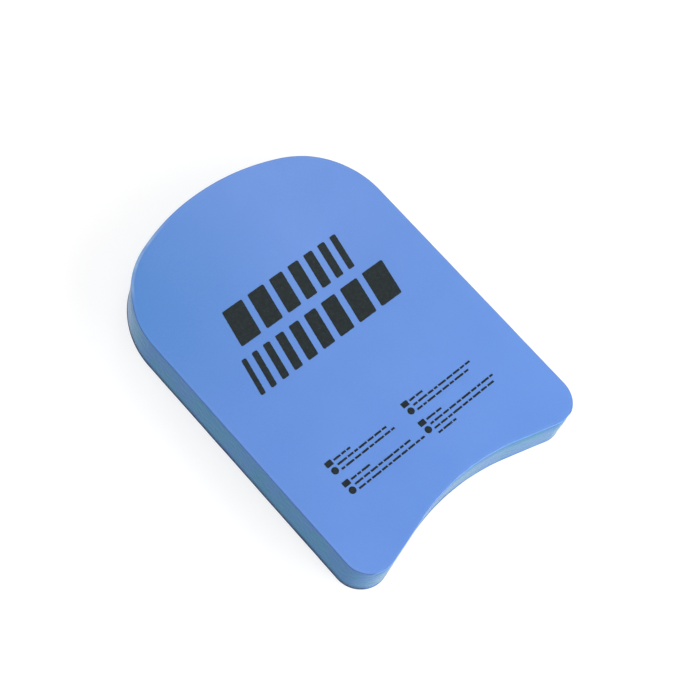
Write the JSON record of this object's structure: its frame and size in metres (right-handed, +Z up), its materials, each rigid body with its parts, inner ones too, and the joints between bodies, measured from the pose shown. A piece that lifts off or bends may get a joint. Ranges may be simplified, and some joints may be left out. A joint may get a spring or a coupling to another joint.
{
  "type": "kickboard float",
  "caption": "Thick closed-cell foam swimming board with a broad rounded nose, straight parallel sides, rounded tail corners and a shallow tail scoop, smooth skins and a plain dark print",
  "frame": {"origin": "middle of the underside, on the surface that the board lies on", "axes": "+Y along the board from the scooped tail to the rounded nose, +X across it to the right, +Z up through its thickness to the printed face"},
  "size_m": [0.28, 0.382, 0.0421],
  "materials": {
    "skin_foam": "satin",
    "cut_foam": "matte",
    "print_ink": "satin"
  },
  "bodies": {
    "root": {"bottom_skin": "skin_foam", "foam_core": "cut_foam", "top_skin": "skin_foam", "upper_print_bars": "print_ink", "lower_print_bars": "print_ink", "info_tags": "print_ink", "info_discs": "print_ink", "info_dashes": "print_ink"}
  },
  "joints": []
}
